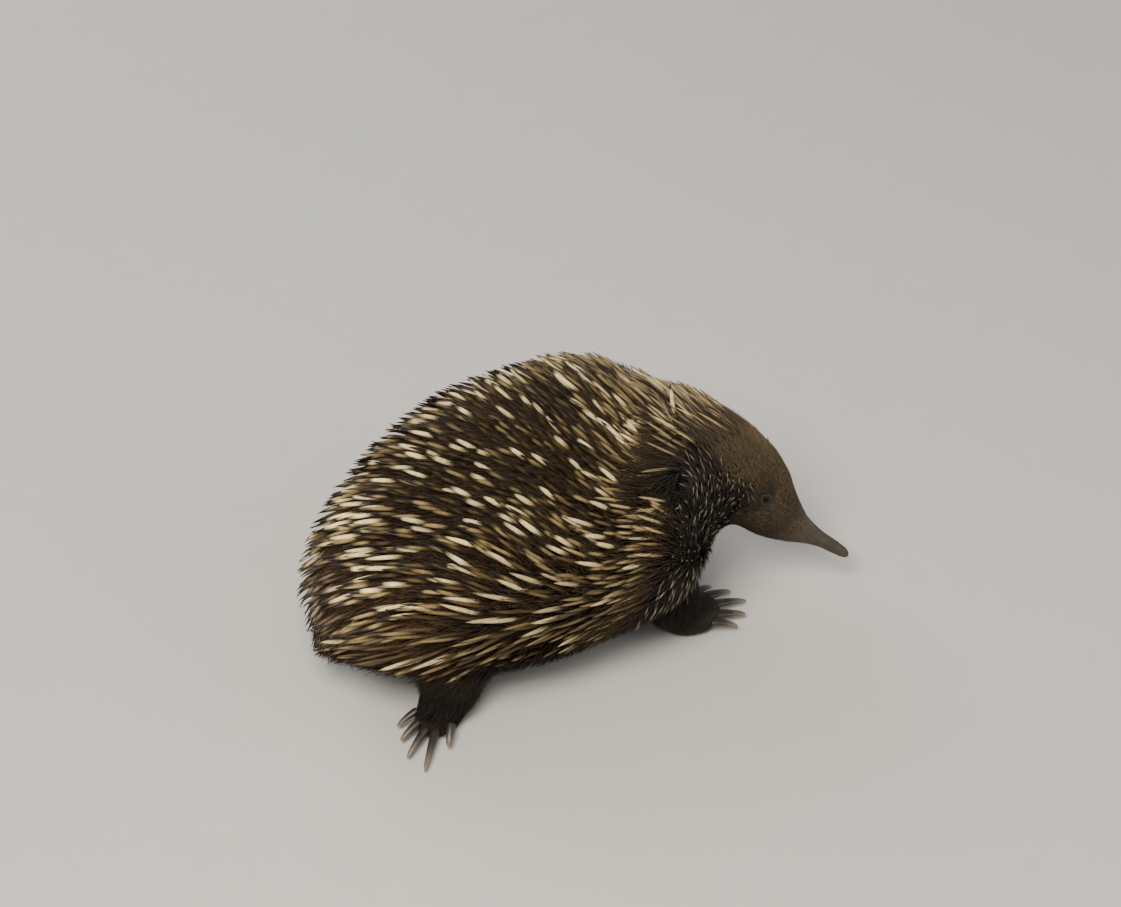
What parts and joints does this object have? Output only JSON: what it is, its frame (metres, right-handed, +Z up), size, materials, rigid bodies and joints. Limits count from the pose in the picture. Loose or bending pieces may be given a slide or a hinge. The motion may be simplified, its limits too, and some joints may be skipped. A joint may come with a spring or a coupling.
{
  "type": "echidna",
  "caption": "Life-size still model of a short-beaked echidna, walking with its head lowered and turned to its right, spines laid back along a domed body.",
  "frame": {"origin": "on the ground, under the middle of the animal's box", "axes": "+X forward along the trunk, +Y to the animal's left, +Z up"},
  "size_m": [0.3684, 0.2207, 0.1773],
  "materials": {
    "spiny_coat": "fur with smooth stiff spines",
    "brown_fur": "short soft fur",
    "dark_fur": "short coarse fur",
    "beak_skin": "bare matt skin",
    "eye": "wet and glossy",
    "claw": "worn horn"
  },
  "bodies": {
    "root": {"back": "spiny_coat", "beak": "beak_skin", "belly": "dark_fur", "claw_fore_left_1": "claw", "claw_fore_left_2": "claw", "claw_fore_left_3": "claw", "claw_fore_left_4": "claw", "claw_fore_left_5": "claw", "claw_fore_right_1": "claw", "claw_fore_right_2": "claw", "claw_fore_right_3": "claw", "claw_fore_right_4": "claw", "claw_fore_right_5": "claw", "claw_hind_left_1": "claw", "claw_hind_left_2": "claw", "claw_hind_left_3": "claw", "claw_hind_left_4": "claw", "claw_hind_left_5": "claw", "claw_hind_right_1": "claw", "claw_hind_right_2": "claw", "claw_hind_right_3": "claw", "claw_hind_right_4": "claw", "claw_hind_right_5": "claw", "ear_left": "dark_fur", "ear_right": "dark_fur", "eye_left": "eye", "eye_right": "eye", "foot_fore_left": "dark_fur", "foot_fore_right": "dark_fur", "foot_hind_left": "dark_fur", "foot_hind_right": "dark_fur", "head": "brown_fur", "leg_fore_left": "dark_fur", "leg_fore_right": "dark_fur", "leg_hind_left": "dark_fur", "leg_hind_right": "dark_fur", "neck": "dark_fur", "rump": "spiny_coat", "shoulders": "spiny_coat", "tail": "brown_fur"}
  },
  "joints": []
}
